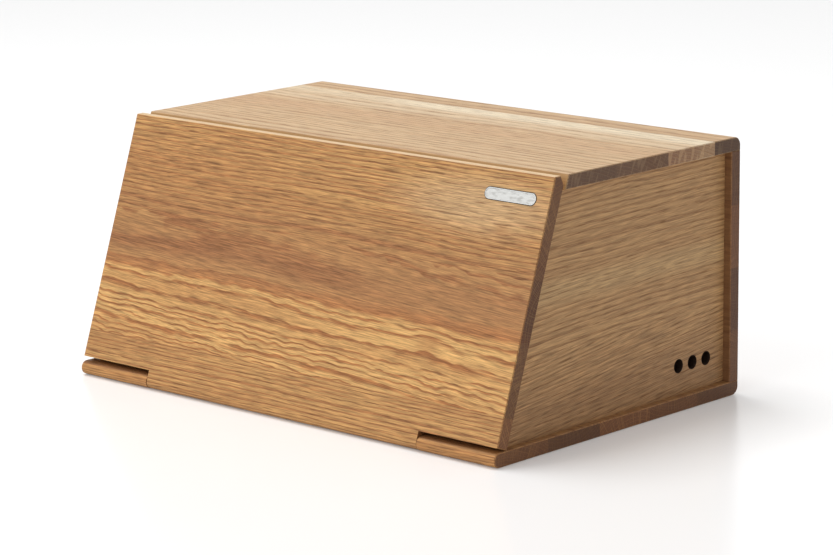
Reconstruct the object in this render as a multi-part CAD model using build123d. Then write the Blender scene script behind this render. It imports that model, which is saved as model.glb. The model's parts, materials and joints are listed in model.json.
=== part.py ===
"""Oak bread box with a sloping drop-down flap that turns on a wooden knuckle hinge.

Millimetres. +X is the box's right-hand end as someone facing the flap sees it, +Y is its back, +Z is up.
The origin is on the worktop, under the middle of the box.
"""

from build123d import *
import math
import os

os.makedirs("parts", exist_ok=True)

# Overall size of the closed box
box_width = 400.0
box_depth = 263.0
box_height = 185.0

# Boards
top_thickness = 10.0
base_thickness = 10.0
back_thickness = 10.0
side_thickness = 10.0
flap_thickness = 10.3
side_inset = 6.0
rear_corner_radius = 6.0
arris = 0.6
brow_radius = 1.0

# Glue lines between the staves of each board
top_seams = (-5.5, 50.0, 102.0)
base_seams = (-77.0, -23.0, 31.0, 84.0)
back_seams = (47.0, 92.0, 137.0)
left_side_seams = (58.0, 113.0)
right_side_seams = (66.0, 121.0)
flap_seams = (28.0, 120.5)

# Flap, measured in its own plane from the hinge axis
flap_lean = 19.1
flap_foot = 7.5
flap_crest = 5.8
bevel_drop = 6.5
side_gap = 0.4
finger_gap = 2.8

# Knuckle hinge
knuckle_length = 69.0
barrel_radius = 4.8
tongue_end_gap = 0.5
tongue_back_gap = 0.3
pin_radius = 2.0
pin_length = 44.0
pin_running_gap = 0.05
pin_end_gap = 0.5

# Air holes in the side boards
vent_radius = 5.0
vent_pitch = 15.5
vent_count = 3
vent_height = 30.5
vent_from_back = 20.0

# Dowels that join the boards
dowel_radius = 3.0
dowel_length = 22.0
dowel_in_face = 6.0
back_dowel_count = 3
back_dowel_end = 45.0
side_dowel_end = 28.0
side_base_dowel_count = 3
side_top_dowel_count = 2

# Bare metal plate, let into the flap
plate_length = 45.0
plate_width = 8.8
plate_thickness = 0.9
plate_pocket_depth = 0.6
plate_pocket_gap = 0.15
plate_rim = 0.9
plate_field_depth = 0.25
plate_edge = 0.25
plate_from_end = 11.8
plate_from_top = 12.4
plate_pin_radius = 0.6
plate_pin_length = 5.0
plate_pin_pitch = 30.0

# Heights and places that follow from the sizes above
half_width = box_width / 2
front = -box_depth / 2
rear = box_depth / 2
top_under = box_height - top_thickness
back_face = rear - back_thickness
side_outer = half_width - side_inset
side_inner = side_outer - side_thickness
knuckle_radius = base_thickness / 2
axis_y = front + knuckle_radius
axis_z = knuckle_radius
lean = math.radians(flap_lean)
face_v = -barrel_radius
inside_v = face_v + flap_thickness


def on_flap(u, v):
    """Y and Z of a point u up the flap and v behind its hinge axis."""
    return (
        axis_y + u * math.sin(lean) + v * math.cos(lean),
        axis_z + u * math.cos(lean) - v * math.sin(lean),
    )


def u_at_height(z, v):
    """How far up the flap the line v reaches height z."""
    return (z - axis_z + v * math.sin(lean)) / math.cos(lean)


flap_top = u_at_height(box_height, face_v)


def bar(outline, x_from, x_to):
    """A closed Y-Z outline, drawn out along X."""
    face = outline if isinstance(outline, (Face, Sketch)) else make_face(Polyline(*outline, close=True))
    return extrude(Plane.YZ.offset(x_from) * face, x_to - x_from)


def rod(x, y, z, radius, length, direction):
    """A round solid that starts at a point and runs along a direction."""
    place = Plane(origin=(x, y, z), z_dir=direction)
    return place * Cylinder(radius, length, align=(Align.CENTER, Align.CENTER, Align.MIN))


def staves(board, plane, seams):
    """Cuts a board at its glue lines, which lie square to the plane's Y, into staves from the lowest up."""
    reach = box_width + box_depth + box_height
    edges = (-reach, *seams, reach)
    slabs = [
        plane * (Pos(0, (low + high) / 2, 0) * Box(2 * reach, high - low, 2 * reach))
        for low, high in zip(edges, edges[1:])
    ]
    return [board & slab for slab in slabs]


def spread(first, last, count):
    """Evenly spaced places from first to last."""
    return [first + (last - first) * i / (count - 1) for i in range(count)]


def ease_ends(board):
    """Takes the sharp arris off the edges round a board's two ends, which are square to X."""
    ends = board.faces().filter_by(Axis.X).sort_by(Axis.X)
    return chamfer(ends[0].edges() + ends[-1].edges(), arris)


def round_brow(board):
    """Rounds a board's upper front edge."""
    brow = board.edges().filter_by(Axis.X).sort_by(lambda e: e.center().Y - e.center().Z)[0]
    return fillet(brow, brow_radius)


# Dowels, each half in the face of one board and half in the edge of the next
dowel_in_edge = dowel_length - dowel_in_face
dowel_base_z = base_thickness - dowel_in_face
dowel_top_z = top_under - dowel_in_edge
side_middle = (side_outer + side_inner) / 2
back_middle = (back_face + rear) / 2
side_front_base = on_flap(u_at_height(base_thickness + dowel_in_edge, inside_v), inside_v)[0]
side_front_top = on_flap(u_at_height(top_under, inside_v), inside_v)[0]
side_base_ys = spread(
    side_front_base + side_dowel_end, back_face - side_dowel_end, side_base_dowel_count
)
side_top_ys = spread(
    side_front_top + side_dowel_end, back_face - side_dowel_end, side_top_dowel_count
)
back_xs = spread(-half_width + back_dowel_end, half_width - back_dowel_end, back_dowel_count)


def dowel(x, y, z):
    """One fluteless dowel, standing up from height z."""
    return rod(x, y, z, dowel_radius, dowel_length, (0, 0, 1))


side_dowels = {
    name: [dowel(x, y, dowel_base_z) for y in side_base_ys] + [dowel(x, y, dowel_top_z) for y in side_top_ys]
    for name, x in (("left", -side_middle), ("right", side_middle))
}
back_base_dowels = [dowel(x, back_middle, dowel_base_z) for x in back_xs]
back_top_dowels = [dowel(x, back_middle, dowel_top_z) for x in back_xs]
all_dowels = side_dowels["left"] + side_dowels["right"] + back_base_dowels + back_top_dowels

# Hinge pins, tight in the knuckles and turning freely in the tongue
notch_half = half_width - knuckle_length
tongue_half = notch_half - tongue_end_gap
pins = {
    "left": rod(-notch_half - pin_length / 2, axis_y, axis_z, pin_radius, pin_length, (1, 0, 0)),
    "right": rod(notch_half - pin_length / 2, axis_y, axis_z, pin_radius, pin_length, (1, 0, 0)),
}


def base_board():
    """Round-nosed front edge, rounded lower back edge, and a notch for the flap's tongue."""
    with BuildSketch() as outline:
        with BuildLine():
            nose = CenterArc((axis_y, axis_z), knuckle_radius, 90, 180)
            under = Line(nose @ 1, (rear - rear_corner_radius, 0))
            corner = CenterArc(under @ 1 + Vector(0, rear_corner_radius), rear_corner_radius, -90, 90)
            up = Line(corner @ 1, (rear, base_thickness))
            Line(up @ 1, nose @ 0)
        make_face()
    board = ease_ends(bar(outline.sketch, -half_width, half_width))
    notch_back = axis_y + knuckle_radius + tongue_back_gap
    notch = [
        (front - 1, -1),
        (notch_back, -1),
        (notch_back, base_thickness + 1),
        (front - 1, base_thickness + 1),
    ]
    board -= bar(notch, -notch_half, notch_half)
    for side in (-1, 1):
        mouth = side * notch_half
        board -= rod(mouth, axis_y, axis_z, pin_radius, pin_length / 2 + pin_end_gap, (side, 0, 0))
    return board - all_dowels


def top_board():
    """Front edge parallel to the flap, rounded upper back edge."""
    gap_v = inside_v + finger_gap
    low = on_flap(u_at_height(top_under, gap_v), gap_v)
    high = on_flap(u_at_height(box_height, gap_v), gap_v)
    with BuildSketch() as outline:
        with BuildLine():
            face = Line(low, high)
            over = Line(face @ 1, (rear - rear_corner_radius, box_height))
            corner = CenterArc(over @ 1 - Vector(0, rear_corner_radius), rear_corner_radius, 90, -90)
            down = Line(corner @ 1, (rear, top_under))
            Line(down @ 1, face @ 0)
        make_face()
    board = round_brow(bar(outline.sketch, -half_width, half_width))
    return ease_ends(board) - all_dowels


def back_board():
    """Plain board that stands between base and top."""
    outline = [(back_face, base_thickness), (rear, base_thickness), (rear, top_under), (back_face, top_under)]
    board = bar(outline, -half_width, half_width)
    return chamfer(board.edges().filter_by(Axis.Z), arris) - all_dowels


def side_board(side):
    """Board with a sloping front edge for the flap to lean on, and a row of air holes."""
    rest_v = inside_v + side_gap
    outline = [
        on_flap(u_at_height(base_thickness, rest_v), rest_v),
        (back_face, base_thickness),
        (back_face, top_under),
        on_flap(u_at_height(top_under, rest_v), rest_v),
    ]
    x_low, x_high = sorted((side * side_inner, side * side_outer))
    board = bar(outline, x_low, x_high)
    for i in range(vent_count):
        y = back_face - vent_from_back - i * vent_pitch
        board -= rod(x_low, y, vent_height, vent_radius, side_thickness, (1, 0, 0))
    return board - all_dowels


def flap_board():
    """Board with a level crest, a bevel behind it, and a tongue that ends in a barrel round the hinge axis."""
    crest = on_flap(flap_top, face_v)
    outline = [
        on_flap(flap_foot, face_v),
        crest,
        (crest[0] + flap_crest, box_height),
        on_flap(u_at_height(box_height - bevel_drop, inside_v), inside_v),
        on_flap(flap_foot, inside_v),
    ]
    board = ease_ends(round_brow(bar(outline, -half_width, half_width)))
    heel = on_flap(flap_foot, inside_v)
    to_heel = math.hypot(heel[0] - axis_y, heel[1] - axis_z)
    heel_angle = math.atan2(heel[1] - axis_z, heel[0] - axis_y)
    touch_angle = heel_angle + math.acos(barrel_radius / to_heel)
    touch = (
        axis_y + barrel_radius * math.cos(touch_angle),
        axis_z + barrel_radius * math.sin(touch_angle),
    )
    web = [
        (axis_y, axis_z),
        on_flap(0, face_v),
        on_flap(flap_foot + arris, face_v),
        on_flap(flap_foot + arris, inside_v),
        heel,
        touch,
    ]
    board += bar(web, -tongue_half, tongue_half)
    board += rod(-tongue_half, axis_y, axis_z, barrel_radius, 2 * tongue_half, (1, 0, 0))
    bore_depth = pin_length / 2 - tongue_end_gap + pin_end_gap
    for side in (-1, 1):
        mouth = side * tongue_half
        board -= rod(mouth, axis_y, axis_z, pin_radius + pin_running_gap, bore_depth, (-side, 0, 0))
    pocket = SlotOverall(plate_length + 2 * plate_pocket_gap, plate_width + 2 * plate_pocket_gap)
    board -= flap_face * (Pos(plate_x, plate_u, -plate_pocket_depth) * extrude(pocket, plate_thickness))
    return board - plate_pins()


# The flap's face as a drawing plane: local X is the box's X, local Y runs up the flap
face_origin = on_flap(0, face_v)
flap_face = Plane(
    origin=(0, *face_origin), x_dir=(1, 0, 0), z_dir=(0, -math.cos(lean), math.sin(lean))
)
plate_x = half_width - plate_from_end - plate_length / 2
plate_u = flap_top - plate_from_top - plate_width / 2


def name_plate():
    """Round-ended metal plate with a raised rim round a bare field, sunk in its pocket."""
    blank = extrude(SlotOverall(plate_length, plate_width), plate_thickness)
    blank = chamfer(blank.faces().sort_by(Axis.Z)[-1].edges(), plate_edge)
    field = SlotOverall(plate_length - 2 * plate_rim, plate_width - 2 * plate_rim)
    blank -= Pos(0, 0, plate_thickness - plate_field_depth) * extrude(field, plate_thickness)
    return flap_face * (Pos(plate_x, plate_u, -plate_pocket_depth) * blank)


def plate_pins():
    """Two pins behind the plate, driven into the flap."""
    pin = Cylinder(plate_pin_radius, plate_pin_length, align=(Align.CENTER, Align.CENTER, Align.MAX))
    xs = (plate_x - plate_pin_pitch / 2, plate_x + plate_pin_pitch / 2)
    return [flap_face * (Pos(x, plate_u, -plate_pocket_depth) * pin) for x in xs]


def one_solid(shape):
    """The single solid of a shape that a cut may have wrapped in a list."""
    (solid,) = shape.solids()
    return solid


nodes = {}
boards = (
    ("base_stave", base_board(), Plane.XY, base_seams),
    ("top_stave", top_board(), Plane.XY, top_seams),
    ("back_stave", back_board(), Plane.XZ, back_seams),
    ("left_side_stave", side_board(-1), Plane.XZ, left_side_seams),
    ("right_side_stave", side_board(1), Plane.XZ, right_side_seams),
    ("flap_stave", flap_board(), flap_face, flap_seams),
)
for name, board, plane, seams in boards:
    for number, stave in enumerate(staves(board, plane, seams), 1):
        nodes[f"{name}_{number}"] = [one_solid(stave)]
for side in ("left", "right"):
    nodes[f"{side}_hinge_pin"] = [one_solid(pins[side])]
    nodes[f"{side}_side_dowels"] = side_dowels[side]
nodes["back_base_dowels"] = back_base_dowels
nodes["back_top_dowels"] = back_top_dowels
nodes["name_plate"] = [one_solid(name_plate())]
nodes["plate_pins"] = plate_pins()

for name, solids in nodes.items():
    shape = solids[0] if len(solids) == 1 else Compound(children=[one_solid(s) for s in solids])
    export_step(shape, f"parts/{name}.step")
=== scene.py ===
"""Dresses the oak bread box for its picture: oiled staves, fluted dowels, steel pins and a bare plate."""

import json
import math
from collections import namedtuple

import bmesh
import bpy
from mathutils import Matrix, Vector


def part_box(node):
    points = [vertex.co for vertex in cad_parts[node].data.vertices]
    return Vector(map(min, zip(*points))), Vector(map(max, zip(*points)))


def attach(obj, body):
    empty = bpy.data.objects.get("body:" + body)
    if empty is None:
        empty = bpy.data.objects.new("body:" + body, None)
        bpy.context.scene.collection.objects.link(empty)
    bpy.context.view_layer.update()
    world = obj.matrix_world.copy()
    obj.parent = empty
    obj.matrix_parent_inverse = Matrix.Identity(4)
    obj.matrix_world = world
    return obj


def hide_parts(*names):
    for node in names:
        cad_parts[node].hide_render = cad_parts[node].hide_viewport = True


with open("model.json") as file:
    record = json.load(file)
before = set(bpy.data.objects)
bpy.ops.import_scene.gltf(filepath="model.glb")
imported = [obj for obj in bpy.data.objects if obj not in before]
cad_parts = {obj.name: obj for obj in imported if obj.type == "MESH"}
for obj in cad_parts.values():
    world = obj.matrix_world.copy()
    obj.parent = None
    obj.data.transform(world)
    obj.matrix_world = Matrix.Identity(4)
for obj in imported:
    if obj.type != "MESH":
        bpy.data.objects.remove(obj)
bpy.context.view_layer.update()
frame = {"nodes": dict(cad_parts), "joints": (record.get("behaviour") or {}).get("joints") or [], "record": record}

nodes = frame["nodes"]


# Base board
# Five edge-glued oak staves, 10 mm thick, that carry every other board. The front stave is turned to a round
# nose and notched, and its two ends are the fixed knuckles of the hinge. Planed, sanded and oiled.


def new_finish(name):
    """A fresh material, its node tree and its shader."""
    material = bpy.data.materials.new(name)
    material.use_nodes = True
    return material, material.node_tree, material.node_tree.nodes["Principled BSDF"]


def plug(tree, value, socket):
    """Links a socket, or writes a number or colour on it."""
    if isinstance(value, bpy.types.NodeSocket):
        tree.links.new(value, socket)
    else:
        socket.default_value = value


def maths(tree, operation, *values):
    """A Math node on numbers or sockets."""
    made = tree.nodes.new("ShaderNodeMath")
    made.operation = operation
    for socket, value in zip(made.inputs, values):
        plug(tree, value, socket)
    return made.outputs[0]


def times(tree, first, second):
    """The product of two numbers or sockets."""
    return maths(tree, "MULTIPLY", first, second)


def vector(tree, operation, *values):
    """A Vector Math node on vectors or sockets."""
    made = tree.nodes.new("ShaderNodeVectorMath")
    made.operation = operation
    for socket, value in zip(made.inputs, values):
        plug(tree, value, socket)
    return made.outputs["Value" if operation in ("LENGTH", "DOT_PRODUCT") else "Vector"]


def joined(tree, x, y, z):
    """A vector from three numbers or sockets."""
    made = tree.nodes.new("ShaderNodeCombineXYZ")
    for socket, value in zip(made.inputs, (x, y, z)):
        plug(tree, value, socket)
    return made.outputs["Vector"]


def split(tree, place):
    """The three numbers of a vector."""
    made = tree.nodes.new("ShaderNodeSeparateXYZ")
    tree.links.new(place, made.inputs["Vector"])
    return made.outputs["X"], made.outputs["Y"], made.outputs["Z"]


def within(tree, lie):
    """The place of each point of the object in a frame of its own, such as a board's."""
    made = tree.nodes.new("ShaderNodeMapping")
    made.vector_type = "TEXTURE"
    made.inputs["Location"].default_value = lie.translation
    made.inputs["Rotation"].default_value = lie.to_euler()
    tree.links.new(tree.nodes.new("ShaderNodeTexCoord").outputs["Object"], made.inputs["Vector"])
    return made.outputs["Vector"]


def noise(tree, place, size, detail=2.0, roughness=0.5):
    """Noise whose blotches are about size metres along each axis of place; gives its grey and its colour."""
    made = tree.nodes.new("ShaderNodeTexNoise")
    made.inputs["Scale"].default_value = 1.0
    made.inputs["Detail"].default_value = detail
    made.inputs["Roughness"].default_value = roughness
    tree.links.new(vector(tree, "DIVIDE", place, size), made.inputs["Vector"])
    return made.outputs["Fac"], made.outputs["Color"]


def rise(tree, value, low, high):
    """0 below low, 1 above high, and a smooth climb between them."""
    made = tree.nodes.new("ShaderNodeMapRange")
    made.interpolation_type = "SMOOTHSTEP"
    plug(tree, value, made.inputs["Value"])
    made.inputs["From Min"].default_value = low
    made.inputs["From Max"].default_value = high
    return made.outputs["Result"]


def fall(tree, value, low, high):
    """1 below low, 0 above high, and a smooth slide between them."""
    return maths(tree, "SUBTRACT", 1.0, rise(tree, value, low, high))


def mixed(tree, share, first, second, blend="MIX"):
    """Two colours mixed."""
    made = tree.nodes.new("ShaderNodeMixRGB")
    made.blend_type = blend
    for socket, value in zip(made.inputs, (share, first, second)):
        plug(tree, value, socket)
    return made.outputs["Color"]


def rgb(red, green, blue):
    """A colour with its alpha."""
    return (red, green, blue, 1.0)


# What a stave may have besides its rings, in metres in its board's own frame. A streak runs past both ends
# of the board unless it has a shorter half length, and painted light is light or shade painted on the faces that
# face one direction
Streak = namedtuple("Streak", "across half_width tint strength along half_length", defaults=(0.0, 9.0))
Knot = namedtuple("Knot", "along across reach")
Bore = namedtuple("Bore", "along across radius")
PaintedLight = namedtuple("PaintedLight", "direction tint strength")

# Colours that every stave shares: the open pores, the painted shade inside a bore, and what a sawn end is darkened
# by
PORE = rgb(0.15, 0.058, 0.018)
BORE_PAINTED_SHADE = rgb(0.030, 0.016, 0.010)
END_SHADE = rgb(0.31, 0.25, 0.27)
STREAK_SHADE = (0.30, 0.22, 0.17)

# How large each part of the figure is, in metres: along the grain, then across it both ways
TRUNK_SIZE = (0.15, 0.05, 0.05)
WAVE_SIZE = (0.017, 0.013, 0.030)
CLOUD_SIZE = (0.22, 0.012, 0.012)
THREAD_SIZE = (0.050, 0.0030, 0.0030)
STRAND_SIZE = (0.018, 0.00085, 0.00085)
GROOVE_SIZE = (0.0150, 0.00048, 0.00048)

# How far the trunk strays, how much of a wave its rings' radius keeps, and how a knot pushes them aside
STRAY = 0.005
WAVE_IN_RADIUS = 0.12
KNOT_SHAPE = (0.6, 1.0)
KNOT_PUSH = 0.14

# Good and poor years take turns over this depth of wood, and shift the rings by so many years
SEASON_SIZE = (0.012, 1.0, 1.0)
SEASON_SHIFT = 3.5

# Shares of a year in which early wood sets in, early wood fades into late wood, and an end's pale line fades
SPRING_COMES = (0.0, 0.10)
SPRING_GOES = (0.20, 0.62)
LINE_GOES = (0.02, 0.22)

# Greys of the noise between which a pore opens, a dark thread shows, a ray shows and a cloud gathers
PORE_OPENS = (0.53, 0.63)
THREAD_SHOWS = (0.24, 0.54)
RAY_SHOWS = (0.54, 0.62)
CLOUD_GATHERS = (0.42, 0.66)

# Shares of a streak's half width between which it fades, and of a bore's radius between which its painted shade
# does
STREAK_GOES = (0.2, 1.0)
BORE_SHADE_GOES = (1.0, 1.04)

# How squarely a surface faces a direction before light or shade is painted on it, or before it counts as a sawn
# end
FACES_PAINTED_LIGHT = (0.7, 0.95)
FACES_END = (0.55, 0.85)


def apart(tree, place, along, across, scale=(1.0, 1.0)):
    """How far place is from a point of the board's face, with the two directions scaled."""
    away = vector(tree, "SUBTRACT", place, (along, across, 0.0))
    return vector(tree, "LENGTH", vector(tree, "MULTIPLY", away, (*scale, 0.0)))


Growth = namedtuple("Growth", "fibre strayed bearing radius year spring knotty")


def growth(tree, log, in_board, ring, ripple, knots):
    """Fibres that wander with the trunk, and growth rings that wave and bend round the knots.

    A year runs from 0 to 1 through each ring, and spring is 1 in its early wood.
    """
    drift = vector(tree, "SUBTRACT", noise(tree, log, TRUNK_SIZE, detail=1.0)[1], (0.5, 0.5, 0.5))
    drift = vector(tree, "MULTIPLY", drift, (0.0, STRAY, STRAY))
    fibre = vector(tree, "ADD", log, drift)
    wave = maths(tree, "SUBTRACT", noise(tree, fibre, WAVE_SIZE, detail=1.0)[0], 0.5)
    wave = times(tree, wave, ripple)
    _, across, out = split(tree, fibre)
    across = maths(tree, "ADD", wave, across)
    bearing = maths(tree, "ARCTAN2", across, out)
    radius = vector(tree, "LENGTH", joined(tree, 0.0, across, out))
    radius = maths(tree, "MULTIPLY_ADD", wave, WAVE_IN_RADIUS, radius)
    knotty = 0.0
    for knot in knots:
        near = fall(tree, apart(tree, in_board, knot.along, knot.across, KNOT_SHAPE), 0.0, knot.reach)
        radius = maths(tree, "MULTIPLY_ADD", near, KNOT_PUSH * knot.reach, radius)
        knotty = maths(tree, "ADD", times(tree, near, near), knotty)
    seasons = noise(tree, joined(tree, radius, 0.0, 0.0), SEASON_SIZE, detail=1.0)[0]
    years = maths(tree, "MULTIPLY_ADD", seasons, SEASON_SHIFT, maths(tree, "DIVIDE", radius, ring))
    year = maths(tree, "FRACT", years)
    spring = times(tree, fall(tree, year, *SPRING_GOES), rise(tree, year, *SPRING_COMES))
    strayed = vector(tree, "ADD", in_board, vector(tree, "ADD", drift, joined(tree, 0.0, wave, 0.0)))
    return Growth(fibre, strayed, bearing, radius, year, spring, knotty)


def oak(
    name,
    lie,
    heart,
    late,
    early,
    ring=0.0024,
    ripple=0.001,
    slope=0.0,
    skew=0.0,
    streaks=(),
    knots=(),
    bores=(),
    tones=(),
    grain=1.8,
    pores=0.68,
    end_light=1.0,
):
    """Solid oak: growth rings round a heart line, open pores in the early wood, rays, and darker end grain.

    lie holds the board's grain, width and face directions, and heart is where the heart line runs, as
    (across, out of the face) in the board's own frame. late and early are the colours of a ring's two woods,
    and ring is its width. ripple is how far its small waves swing. slope tips the heart line into the board,
    which draws arched figure on the face, and skew turns it in the face. grain is how strongly the fine
    fibres differ, pores is how dark the pores are, and end_light is how light the sawn ends are.
    """
    material, tree, shader = new_finish(name)
    normal = tree.nodes.new("ShaderNodeTexCoord").outputs["Normal"]
    in_board = within(tree, lie)
    turned = Matrix.Rotation(skew, 4, "Z") @ Matrix.Rotation(slope, 4, "Y")
    log = within(tree, lie @ Matrix.Translation((0.0, *heart)) @ turned)
    wood = growth(tree, log, in_board, ring, ripple, knots)

    # Fine fibres everywhere, and pores, which are short grooves crowded into the early wood
    late_pores = 0.35
    strand = noise(tree, wood.fibre, STRAND_SIZE, detail=3.0, roughness=0.6)[0]
    groove = noise(tree, wood.fibre, GROOVE_SIZE, detail=0.0)[0]
    thread = noise(tree, wood.fibre, THREAD_SIZE)[0]
    crowd = maths(tree, "MULTIPLY_ADD", wood.spring, 1.0 - late_pores, late_pores)
    open_pores = times(tree, rise(tree, groove, *PORE_OPENS), crowd)
    threads = times(tree, wood.spring, rise(tree, thread, *THREAD_SHOWS))

    # Rays run out from the heart: fine pale lines on the ends
    ray_gap = 0.0009
    ray_length = 0.02
    ray_size = (ray_gap / Vector(heart).length, ray_length, 1.0)
    ray = noise(tree, joined(tree, wood.bearing, wood.radius, 0.0), ray_size, detail=1.0)[0]
    rays = rise(tree, ray, *RAY_SHOWS)

    # Colour of the faces and of the ends: rings and clouds, then the streaks, then the fibres
    cloud_share = 0.35
    cloud = rise(tree, noise(tree, log, CLOUD_SIZE)[0], *CLOUD_GATHERS)
    face = mixed(tree, threads, late, early)
    face = mixed(tree, cloud, face, mixed(tree, cloud_share, face, early))
    end = mixed(tree, 1.0, mixed(tree, 0.5, late, early), END_SHADE, "MULTIPLY")
    for streak in streaks:
        scale = (1 / streak.half_length, 1 / streak.half_width)
        from_middle = apart(tree, wood.strayed, streak.along, streak.across, scale)
        share = times(tree, fall(tree, from_middle, *STREAK_GOES), streak.strength)
        face = mixed(tree, share, face, streak.tint)
        shaded = [shade * channel for shade, channel in zip(STREAK_SHADE, streak.tint)]
        end = mixed(tree, share, end, rgb(*shaded))
    strand_light = maths(tree, "MULTIPLY_ADD", strand, grain, 1.0 - 0.5 * grain)
    face = mixed(tree, 1.0, face, strand_light, "MULTIPLY")
    end = mixed(tree, 1.0, end, strand_light, "MULTIPLY")

    # Faces: dark knots and pores, under light and shade painted on the faces that face one direction
    knot_share = 0.45
    if knots:
        face = mixed(tree, times(tree, wood.knotty, knot_share), face, early)
    face = mixed(tree, times(tree, open_pores, pores), face, PORE)
    for tone in tones:
        towards = rise(tree, vector(tree, "DOT_PRODUCT", normal, tone.direction), *FACES_PAINTED_LIGHT)
        face = mixed(tree, times(tree, towards, tone.strength), face, tone.tint)

    # Ends: dark early wood, and pale lines where a year starts and along the rays
    early_share = 0.35
    line_share = 0.18
    end = mixed(tree, times(tree, wood.spring, early_share), end, PORE)
    end_lines = maths(tree, "MAXIMUM", fall(tree, wood.year, *LINE_GOES), rays)
    end = mixed(tree, times(tree, end_lines, line_share), end, late)
    end = mixed(tree, 1.0, end, rgb(end_light, end_light, end_light), "MULTIPLY")

    # The two together, and painted shade on the walls of the bores
    along_grain = maths(tree, "ABSOLUTE", vector(tree, "DOT_PRODUCT", normal, lie.col[0].to_3d()))
    colour = mixed(tree, rise(tree, along_grain, *FACES_END), face, end)
    for bore in bores:
        to_axis = apart(tree, in_board, bore.along, bore.across)
        bore_shade = fall(tree, to_axis, *(share * bore.radius for share in BORE_SHADE_GOES))
        colour = mixed(tree, bore_shade, colour, BORE_PAINTED_SHADE)
    tree.links.new(colour, shader.inputs["Base Color"])

    # Satin oil finish, duller and slightly sunk in the open pores
    satin = 0.48
    dulling = 0.15
    shader.inputs["Specular IOR Level"].default_value = 0.35
    tree.links.new(maths(tree, "MULTIPLY_ADD", open_pores, dulling, satin), shader.inputs["Roughness"])
    bump = tree.nodes.new("ShaderNodeBump")
    bump.inputs["Strength"].default_value = 0.35
    bump.inputs["Distance"].default_value = 0.0002
    tree.links.new(maths(tree, "SUBTRACT", 1.0, open_pores), bump.inputs["Height"])
    tree.links.new(bump.outputs["Normal"], shader.inputs["Normal"])
    return material


def finish_with(node_name, material):
    """Gives a CAD node its finish."""
    slots = nodes[node_name].data.materials
    slots.clear()
    slots.append(material)


def oil_board(board, lie, staves, **shared):
    """Gives each stave of a board its own oak."""
    for number, stave in enumerate(staves, 1):
        finish_with(f"{board}_stave_{number}", oak(f"{board}_oak_{number}", lie, **shared, **stave))


def lying(grain, across, origin=(0.0, 0.0, 0.0)):
    """A board's own frame: X along the grain, Y across its width, Z out of its face."""
    grain, across = Vector(grain), Vector(across)
    frame_of_board = Matrix((grain, across, grain.cross(across))).transposed().to_4x4()
    frame_of_board.translation = origin
    return frame_of_board


RIGHTWARD = (1.0, 0.0, 0.0)
BACKWARD = (0.0, 1.0, 0.0)
FORWARD = (0.0, -1.0, 0.0)
UP = (0.0, 0.0, 1.0)
flat = lying(RIGHTWARD, BACKWARD)
honey = rgb(0.57, 0.29, 0.095)
honey_early = rgb(0.37, 0.155, 0.048)
inside_painted_shade = rgb(0.16, 0.075, 0.032)
base_staves = (
    dict(heart=(-0.125, -0.060), end_light=1.05),
    dict(heart=(-0.060, 0.055), end_light=0.75),
    dict(heart=(0.015, -0.045), end_light=1.25),
    dict(heart=(0.060, 0.060), end_light=1.0),
    dict(heart=(0.120, -0.050), end_light=0.75),
)
# Painted shade on every upward face of the base, such as the floor inside the box and the ledges beside the side
# boards
base_tones = (PaintedLight(UP, inside_painted_shade, 0.6),)
oil_board("base", flat, base_staves, late=honey, early=honey_early, tones=base_tones)

# Top board
# Four edge-glued oak staves, with a pale sapwood edge on the third. The front edge is planed parallel to the
# flap, and the upper back edge is rounded.

pale = rgb(0.59, 0.400, 0.210)
pale_early = rgb(0.46, 0.260, 0.115)
dun = rgb(0.56, 0.365, 0.185)
dun_early = rgb(0.42, 0.24, 0.105)
sapwood = rgb(0.77, 0.64, 0.445)
rosy = rgb(0.53, 0.310, 0.150)
front_painted_shade = rgb(0.50, 0.285, 0.110)
top_staves = (
    dict(heart=(-0.110, -0.060), late=pale, early=pale_early, end_light=0.78),
    dict(
        heart=(-0.070, -0.050),
        late=pale,
        early=pale_early,
        streaks=(
            Streak(0.034, 0.020, rosy, 0.5),
            Streak(0.036, 0.022, rosy, 0.4, along=-0.14, half_length=0.12),
        ),
        end_light=0.90,
    ),
    dict(
        heart=(0.000, -0.060),
        late=pale,
        early=pale_early,
        streaks=(
            Streak(0.068, 0.014, sapwood, 0.30),
            Streak(0.096, 0.024, sapwood, 0.95),
            Streak(0.090, 0.024, pale, 0.50, along=-0.15, half_length=0.11),
        ),
        end_light=1.65,
    ),
    dict(heart=(0.060, -0.050), late=dun, early=dun_early, end_light=0.60),
)
# Painted shade darkens the front edge, which faces the flap
top_tones = (PaintedLight(FORWARD, front_painted_shade, 0.85),)
oil_board("top", flat, top_staves, tones=top_tones, grain=1.2, pores=0.55)

# Back board
# Four edge-glued oak staves that stand on the base, under the top, with their ends flush with the ends of
# those boards. The front face carries painted shade, as in the corners behind the side boards.

upright = lying(RIGHTWARD, UP)
chestnut = rgb(0.42, 0.215, 0.085)
chestnut_early = rgb(0.29, 0.130, 0.048)
back_staves = (
    dict(heart=(0.020, -0.190), end_light=1.2),
    dict(heart=(0.080, -0.070), end_light=0.85),
    dict(heart=(0.120, -0.185), end_light=1.3),
    dict(heart=(0.150, -0.080), end_light=0.9),
)
back_tones = (PaintedLight(FORWARD, inside_painted_shade, 0.7),)
oil_board("back", upright, back_staves, late=chestnut, early=chestnut_early, tones=back_tones)

# Side boards
# Three oak staves each, grain front to back, set in from the ends of the other boards. The front edge slopes
# with the flap, and three air holes are drilled low at the back.

end_on = lying(BACKWARD, UP)
umber = rgb(0.52, 0.300, 0.128)
umber_early = rgb(0.37, 0.195, 0.079)
umber_deep = rgb(0.33, 0.175, 0.075)
umber_pale = rgb(0.62, 0.42, 0.20)
air_hole_radius = 0.005
side_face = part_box("right_side_stave_1")[1].x


def side_heart(height, depth, outward):
    """A heart line that runs front to back at a height, and so deep inside a side board's outer face."""
    return (height, outward * (side_face - depth))


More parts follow.
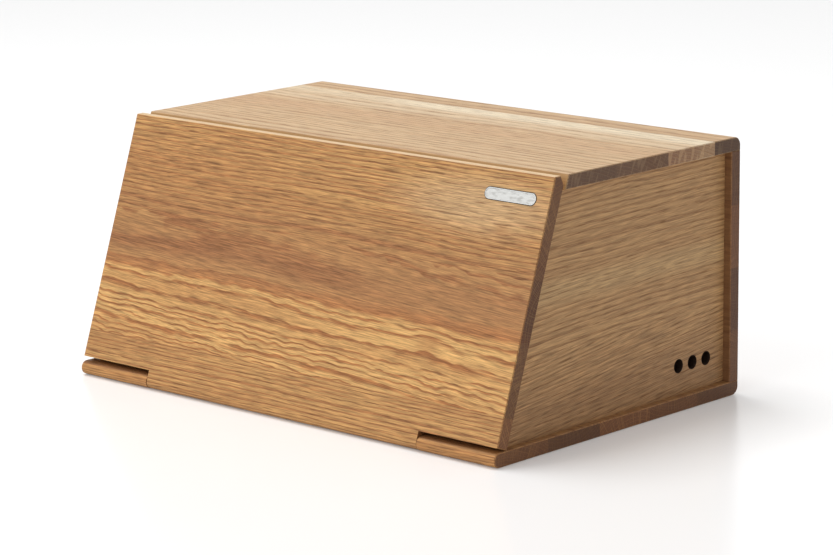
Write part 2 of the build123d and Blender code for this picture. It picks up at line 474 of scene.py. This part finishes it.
for side, outward in (("left", -1), ("right", 1)):
    air_holes = []
    for opening in frame["record"]["physics"]["openings"]:
        if opening["name"].startswith(f"{side}_vent"):
            centre = (Vector(opening["box_m"][0]) + Vector(opening["box_m"][1])) / 2
            air_holes.append(Bore(centre.y, centre.z, air_hole_radius))
    side_staves = (
        dict(
            heart=side_heart(-0.080, 0.10, outward),
            skew=0.11,
            # The dark band low on this stave is partly the oak's own tone and partly painted shade near the
            # worktop
            streaks=(Streak(0.018, 0.040, umber_deep, 0.65),),
            bores=air_holes,
            grain=1.9,
            pores=0.62,
        ),
        dict(
            heart=side_heart(0.020, 0.09, outward),
            skew=0.05,
            streaks=(Streak(0.106, 0.014, umber_pale, 0.40), Streak(0.128, 0.010, umber_deep, 0.40)),
            grain=1.4,
            pores=0.48,
        ),
        dict(heart=side_heart(0.070, 0.12, outward), skew=0.03, grain=1.4, pores=0.48),
    )
    oil_board(f"{side}_side", end_on, side_staves, late=umber, early=umber_early, slope=0.01)

# Flap
# Three oak staves that lean back at 19 degrees and drop forward on the hinge. The middle one is flat-sawn
# and shows arched figure, and the crest carries a painted highlight.

hinge = frame["joints"][0]["pos_m"]
flap_lean = math.radians(19.1)
leaning = lying(RIGHTWARD, (0.0, math.sin(flap_lean), math.cos(flap_lean)), hinge)
gold = rgb(0.70, 0.405, 0.145)
gold_early = rgb(0.40, 0.155, 0.046)
tan = rgb(0.57, 0.310, 0.108)
tan_early = rgb(0.39, 0.165, 0.054)
russet = rgb(0.45, 0.185, 0.060)
brown = rgb(0.33, 0.140, 0.052)
straw = rgb(0.68, 0.47, 0.25)
crest_painted_highlight = rgb(0.80, 0.60, 0.35)
flap_staves = (
    dict(heart=(-0.050, -0.060), late=tan, early=tan_early, slope=0.004, end_light=1.25),
    dict(
        heart=(0.102, -0.055),
        late=gold,
        early=gold_early,
        ring=0.0034,
        ripple=0.008,
        slope=0.012,
        skew=-0.05,
        streaks=(
            Streak(0.082, 0.007, russet, 0.85),
            Streak(0.096, 0.020, brown, 0.80),
            Streak(0.116, 0.020, brown, 0.60),
            Streak(0.064, 0.020, tan_early, 0.30, along=-0.06, half_length=0.16),
        ),
        knots=(Knot(0.1226, 0.0655, 0.016),),
        grain=2.1,
        pores=0.50,
        end_light=0.85,
    ),
    dict(
        heart=(0.085, -0.075),
        late=tan,
        early=tan_early,
        slope=0.006,
        streaks=(
            Streak(0.126, 0.018, brown, 0.40),
            Streak(0.155, 0.040, tan_early, 0.40, along=-0.13, half_length=0.20),
            Streak(0.163, 0.028, straw, 0.55, along=0.14, half_length=0.10),
        ),
        knots=(Knot(0.1648, 0.1489, 0.010),),
        # A painted highlight on the upward faces of the crest
        tones=(PaintedLight(UP, crest_painted_highlight, 0.65),),
        grain=2.1,
    ),
)
oil_board("flap", leaning, flap_staves)

# Dowels
# Sixteen fluted beech dowels with tapered ends, glued 6 mm into the face of the base or the top and 16 mm
# into the edge of the board that meets it. They are unseen once the box is together.


def middles(node_name):
    """The middle of each separate solid of a node."""
    loose = bmesh.new()
    loose.from_mesh(nodes[node_name].data)
    same_place = 1e-6
    bmesh.ops.remove_doubles(loose, verts=loose.verts, dist=same_place)
    waiting = set(loose.verts)
    found = []
    while waiting:
        reached = [waiting.pop()]
        solid = []
        while reached:
            vertex = reached.pop()
            solid.append(vertex.co.copy())
            near = [edge.other_vert(vertex) for edge in vertex.link_edges]
            reached += [other for other in near if other in waiting]
            waiting.difference_update(near)
        low = Vector(min(co[i] for co in solid) for i in range(3))
        high = Vector(max(co[i] for co in solid) for i in range(3))
        found.append((low + high) / 2)
    loose.free()
    return sorted(found, key=tuple)


def rod_tree():
    """A node tree that sets a rod at each point, with cosine flutes round it and a taper at both ends."""
    tree = bpy.data.node_groups.new("rods", "GeometryNodeTree")
    tree.interface.new_socket("Places", in_out="INPUT", socket_type="NodeSocketGeometry")
    for label, kind in (
        ("Radius", "Float"),
        ("Length", "Float"),
        ("Sides", "Int"),
        ("Rings", "Int"),
        ("Flutes", "Int"),
        ("Flute depth", "Float"),
        ("Taper", "Float"),
        ("Direction", "Vector"),
        ("Finish", "Material"),
    ):
        tree.interface.new_socket(label, in_out="INPUT", socket_type=f"NodeSocket{kind}")
    tree.interface.new_socket("Rods", in_out="OUTPUT", socket_type="NodeSocketGeometry")
    given = tree.nodes.new("NodeGroupInput").outputs

    # One plain rod, with rings of points along it
    stick = tree.nodes.new("GeometryNodeMeshCylinder")
    tree.links.new(given["Sides"], stick.inputs["Vertices"])
    tree.links.new(given["Rings"], stick.inputs["Side Segments"])
    tree.links.new(given["Radius"], stick.inputs["Radius"])
    tree.links.new(given["Length"], stick.inputs["Depth"])

    # The flutes are cut all round, and only the outermost ring at each end is drawn in by the taper
    end_starts = 0.49
    x, y, z = split(tree, tree.nodes.new("GeometryNodeInputPosition").outputs["Position"])
    turn = maths(tree, "ARCTAN2", y, x)
    flute = maths(tree, "COSINE", times(tree, turn, given["Flutes"]))
    flute = maths(tree, "MULTIPLY_ADD", flute, 0.5, 0.5)
    end = times(tree, given["Length"], end_starts)
    at_end = maths(tree, "GREATER_THAN", maths(tree, "ABSOLUTE", z), end)
    depth = times(tree, flute, given["Flute depth"])
    depth = maths(tree, "MULTIPLY_ADD", at_end, given["Taper"], depth)
    kept = maths(tree, "SUBTRACT", 1.0, maths(tree, "DIVIDE", depth, given["Radius"]))
    shaped = tree.nodes.new("GeometryNodeSetPosition")
    tree.links.new(stick.outputs["Mesh"], shaped.inputs["Geometry"])
    tree.links.new(joined(tree, times(tree, x, kept), times(tree, y, kept), z), shaped.inputs["Position"])

    # One rod at each point, turned along its bore
    laid = tree.nodes.new("FunctionNodeAlignRotationToVector")
    laid.axis = "Z"
    tree.links.new(given["Direction"], laid.inputs["Vector"])
    stood = tree.nodes.new("GeometryNodeInstanceOnPoints")
    tree.links.new(given["Places"], stood.inputs["Points"])
    tree.links.new(shaped.outputs["Geometry"], stood.inputs["Instance"])
    tree.links.new(laid.outputs["Rotation"], stood.inputs["Rotation"])
    real = tree.nodes.new("GeometryNodeRealizeInstances")
    tree.links.new(stood.outputs["Instances"], real.inputs["Geometry"])
    finish = tree.nodes.new("GeometryNodeSetMaterial")
    tree.links.new(real.outputs["Geometry"], finish.inputs["Geometry"])
    tree.links.new(given["Finish"], finish.inputs["Material"])
    tree.links.new(finish.outputs["Geometry"], tree.nodes.new("NodeGroupOutput").inputs["Rods"])
    return tree


rods = rod_tree()


def set_rods(name, replaced, body, slot, **sizes):
    """Rods where the solids of some nodes are, in those nodes' place."""
    points = bpy.data.meshes.new(name)
    points.from_pydata([middle for node_name in replaced for middle in middles(node_name)], [], [])
    piece = bpy.data.objects.new(name, points)
    bpy.context.scene.collection.objects.link(piece)
    modifier = piece.modifiers.new("rods", "NODES")
    modifier.node_group = rods
    for socket in rods.interface.items_tree:
        key = socket.name.lower().replace(" ", "_")
        if key in sizes:
            modifier[socket.identifier] = sizes[key]
    evaluated = piece.evaluated_get(bpy.context.evaluated_depsgraph_get())
    solid = bpy.data.meshes.new_from_object(evaluated)
    piece.modifiers.clear()
    piece.data = solid
    # The first slot comes out empty, ahead of the finish
    solid.materials.pop(index=0)
    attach(piece, body)
    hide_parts(*replaced)


def beech():
    """Pale, even wood with fine short flecks."""
    material, tree, shader = new_finish("beech")
    place = tree.nodes.new("ShaderNodeTexCoord").outputs["Object"]
    fleck_size = (0.0012, 0.0012, 0.012)
    cream = rgb(0.66, 0.46, 0.27)
    fleck_brown = rgb(0.52, 0.33, 0.18)
    flecks = noise(tree, place, fleck_size, detail=3.0)[0]
    tree.links.new(mixed(tree, flecks, cream, fleck_brown), shader.inputs["Base Color"])
    shader.inputs["Roughness"].default_value = 0.6
    return material


dowel_flutes = 14
set_rods(
    "fluted_dowels",
    ("left_side_dowels", "right_side_dowels", "back_base_dowels", "back_top_dowels"),
    "case",
    "dowel",
    radius=0.003,
    length=0.022,
    sides=4 * dowel_flutes,
    rings=12,
    flutes=dowel_flutes,
    flute_depth=0.0002,
    taper=0.0004,
    direction=UP,
    finish=beech(),
)

# Hinge pins
# Two drawn steel pins with eased ends, one in each knuckle. Each is tight in the base and free in the flap's
# tongue, which turns on it.


def drawn_steel():
    """Bright steel with fine drawing marks along X."""
    material, tree, shader = new_finish("drawn_steel")
    place = tree.nodes.new("ShaderNodeTexCoord").outputs["Object"]
    mark_size = (0.012, 0.0002, 0.0002)
    mark_shade = 0.86
    bright = (0.62, 0.61, 0.60)
    marked = [mark_shade * channel for channel in bright]
    marks = noise(tree, place, mark_size, detail=3.0)[0]
    tree.links.new(mixed(tree, marks, rgb(*marked), rgb(*bright)), shader.inputs["Base Color"])
    shader.inputs["Metallic"].default_value = 1.0
    smooth = 0.22
    roughening = 0.16
    tree.links.new(maths(tree, "MULTIPLY_ADD", marks, roughening, smooth), shader.inputs["Roughness"])
    return material


pin_steel = drawn_steel()
set_rods(
    "hinge_pins",
    ("left_hinge_pin", "right_hinge_pin"),
    "case",
    "pin_steel",
    radius=0.002,
    length=0.044,
    sides=32,
    rings=88,
    taper=0.0004,
    direction=RIGHTWARD,
    finish=pin_steel,
)

# Metal plate
# A small round-ended plate let into the flap near its upper corner and left bare, with a polished rim round a
# brushed field. Two short steel nails behind it go into the flap.

plate_low, plate_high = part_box("name_plate")
plate_half_width = 0.0044
rim_width = 0.0009
# Width of the painted shadow along the plate's edge
edge_shadow_width = 0.0007
straight_half = (plate_high.x - plate_low.x) / 2 - plate_half_width
on_plate = leaning.copy()
on_plate.translation = (plate_low + plate_high) / 2


def plated():
    """A polished rim round a brushed, stained field, with a dark line in the field's corner and painted shadow
    along the edge.
    """
    material, tree, shader = new_finish("bare_plate")
    place = within(tree, on_plate)
    along, across, _ = split(tree, place)
    past_straight = maths(tree, "SUBTRACT", maths(tree, "ABSOLUTE", along), straight_half)
    past_straight = maths(tree, "MAXIMUM", past_straight, 0.0)
    from_spine = vector(tree, "LENGTH", joined(tree, past_straight, across, 0.0))

    # The brushed field with its stains
    brush_size = (0.012, 0.00012, 0.00012)
    brushed_dark = rgb(0.42, 0.42, 0.40)
    brushed_light = rgb(0.80, 0.80, 0.78)
    stain_size = (0.006, 0.002, 0.002)
    stain_shows = (0.45, 0.70)
    stain_share = 0.6
    stain_grey = rgb(0.34, 0.33, 0.31)
    brushing = noise(tree, place, brush_size, detail=3.0)[0]
    stain = rise(tree, noise(tree, place, stain_size, detail=3.0)[0], *stain_shows)
    field = mixed(tree, brushing, brushed_dark, brushed_light)
    field = mixed(tree, times(tree, stain, stain_share), field, stain_grey)

    # The polished rim, and a dark line in the corner between the two
    rim_step = 0.0001
    rim_white = rgb(0.97, 0.97, 0.95)
    corner_reach = 0.00045
    corner_share = 0.30
    corner_dark = rgb(0.07, 0.065, 0.06)
    field_edge = plate_half_width - rim_width
    rim = rise(tree, from_spine, field_edge - rim_step, field_edge + rim_step)
    colour = mixed(tree, rim, field, rim_white)
    to_corner = maths(tree, "ABSOLUTE", maths(tree, "SUBTRACT", from_spine, field_edge))
    corner = fall(tree, to_corner, rim_step, corner_reach)
    colour = mixed(tree, times(tree, corner, corner_share), colour, corner_dark)

    # Painted shadow of the gap round the plate: a dark line along the edge, at its darkest a little before the
    # plate ends
    shadow_darkest = 0.4 * edge_shadow_width
    edge_shadow_colour = rgb(0.05, 0.045, 0.035)
    edge = rise(tree, from_spine, plate_half_width - edge_shadow_width, plate_half_width - shadow_darkest)
    colour = mixed(tree, edge, colour, edge_shadow_colour)
    tree.links.new(colour, shader.inputs["Base Color"])

    # Brushed metal is duller than the rim
    smooth = 0.30
    dulling = 0.15
    shader.inputs["Metallic"].default_value = 0.5
    rough = maths(tree, "MULTIPLY_ADD", brushing, dulling, smooth)
    tree.links.new(maths(tree, "MULTIPLY_ADD", rim, -dulling, rough), shader.inputs["Roughness"])
    return material


finish_with("name_plate", plated())
set_rods(
    "plate_nails",
    ("plate_pins",),
    "flap",
    "pin_steel",
    radius=0.0006,
    length=0.005,
    sides=16,
    rings=8,
    taper=0.0003,
    direction=leaning.col[2].to_3d(),
    finish=pin_steel,
)

# Worktop and studio
# A pale, slightly glossy worktop under a white surround, with one soft lamp high on the left and a larger,
# weaker one in front. The worktop lies a hair below the base, so that the two faces don't meet.

half_span = 6.0
hair = 0.0002
corners = [(x * half_span, y * half_span, -hair) for x, y in ((-1, -1), (1, -1), (1, 1), (-1, 1))]
worktop_mesh = bpy.data.meshes.new("worktop")
worktop_mesh.from_pydata(corners, [], [(0, 1, 2, 3)])
worktop = bpy.data.objects.new("worktop", worktop_mesh)
bpy.context.scene.collection.objects.link(worktop)
gloss_white, lacquer_tree, lacquer = new_finish("gloss_white")
lacquer.inputs["Base Color"].default_value = rgb(0.93, 0.93, 0.93)
lacquer.inputs["Roughness"].default_value = 0.24
lacquer.inputs["Specular IOR Level"].default_value = 0.30
lacquer.inputs["Emission Color"].default_value = rgb(1.0, 1.0, 1.0)
camera_lift = 0.13
glance = lacquer_tree.nodes.new("ShaderNodeLightPath").outputs["Is Camera Ray"]
lacquer_tree.links.new(times(lacquer_tree, glance, camera_lift), lacquer.inputs["Emission Strength"])
worktop_mesh.materials.append(gloss_white)

surround = bpy.data.worlds.new("surround")
surround.use_nodes = True
sky = surround.node_tree
path = sky.nodes.new("ShaderNodeLightPath").outputs
seen = maths(sky, "MAXIMUM", path["Is Camera Ray"], path["Is Glossy Ray"])
seen = maths(sky, "MAXIMUM", seen, path["Is Transmission Ray"])
ambient = 0.50
backdrop = sky.nodes["Background"]
sky.links.new(maths(sky, "MULTIPLY_ADD", seen, 1.0 - ambient, ambient), backdrop.inputs["Strength"])
backdrop.inputs["Color"].default_value = rgb(1.0, 1.0, 1.0)
bpy.context.scene.world = surround


def softbox(name, size, power, place, aim):
    """A square soft lamp that faces a point."""
    lamp = bpy.data.lights.new(name, "AREA")
    lamp.size = size
    lamp.energy = power
    stand = bpy.data.objects.new(name, lamp)
    stand.location = place
    stand.rotation_euler = (Vector(aim) - Vector(place)).to_track_quat("-Z", "Y").to_euler()
    bpy.context.scene.collection.objects.link(stand)


box_middle = (0.0, 0.0, 0.09)
softbox("key_lamp", 1.2, 30.0, (-0.65, 0.1, 2.4), box_middle)
softbox("front_lamp", 2.4, 22.5, (-0.4, -2.2, 1.5), box_middle)

# Camera
# Low at the front right, with a long lens, as in the photograph. Its place, roll, lens and shift were fitted
# to the box's edges there. The lens and the shift are in the photograph's own pixels.

eye = Vector((1.577606, -1.713781, 0.586959))
look_at = Vector((0.0, -0.00065, 0.080))
roll = math.radians(-0.619)
photo_width = 833
lens_pixels = 3334.27
centre_shift = (13.807, -2.175)
view = bpy.data.cameras.new("camera")
view.sensor_width = 36.0
view.lens = view.sensor_width * lens_pixels / photo_width
view.shift_x = centre_shift[0] / photo_width
view.shift_y = centre_shift[1] / photo_width
camera = bpy.data.objects.new("camera", view)
aim = (look_at - eye).to_track_quat("-Z", "Y").to_matrix().to_4x4()
camera.matrix_world = Matrix.Translation(eye) @ aim @ Matrix.Rotation(roll, 4, "Z")
bpy.context.scene.collection.objects.link(camera)
bpy.context.scene.camera = camera
bpy.context.scene.view_settings.view_transform = "Standard"
